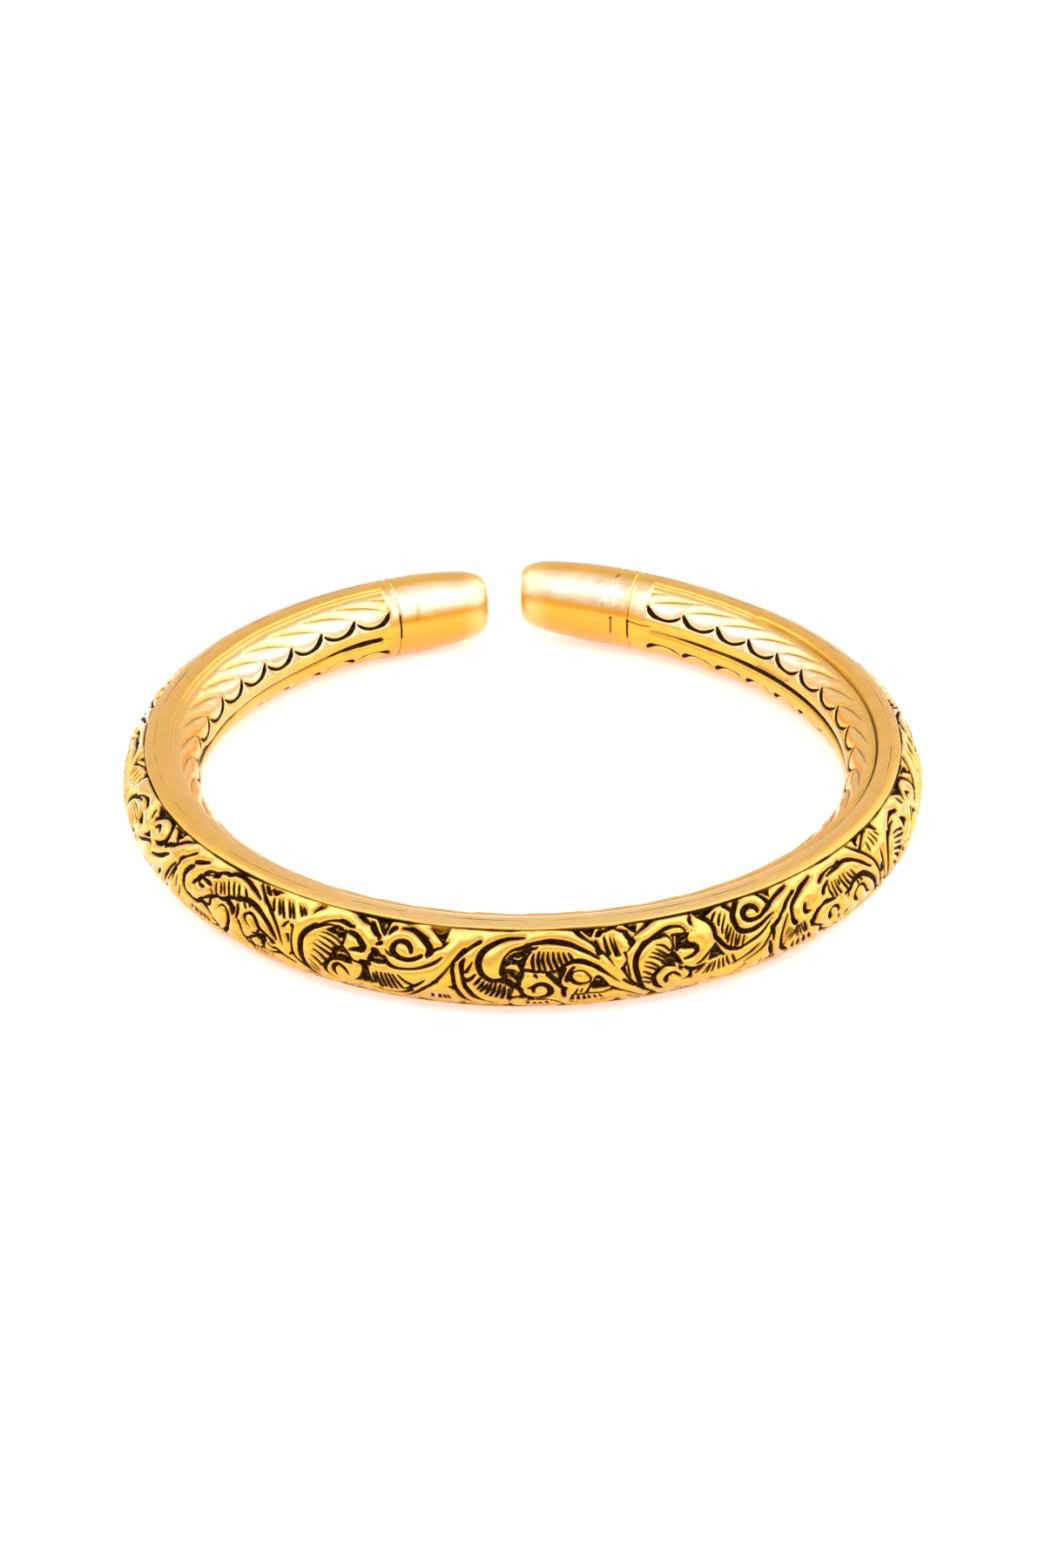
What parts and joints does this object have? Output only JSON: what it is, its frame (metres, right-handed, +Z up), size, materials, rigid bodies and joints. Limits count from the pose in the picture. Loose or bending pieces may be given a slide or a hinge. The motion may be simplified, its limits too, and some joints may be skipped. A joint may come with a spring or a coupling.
{
  "type": "kada bangle",
  "caption": "Rigid open kada bangle of gilt cast metal, with scrollwork round the outside, leaf rows inside and plain end caps.",
  "frame": {"origin": "on the surface that the hoop lies on, under the centre of the wrist opening", "axes": "+Z up, along the axis of the wrist opening; +Y towards the gap between the end caps; +X towards the longer cap"},
  "size_m": [0.0774, 0.0772, 0.0091],
  "materials": {
    "gold": "polished high spots over darkened recesses"
  },
  "bodies": {
    "root": {"kada_hoop": "gold"}
  },
  "joints": []
}
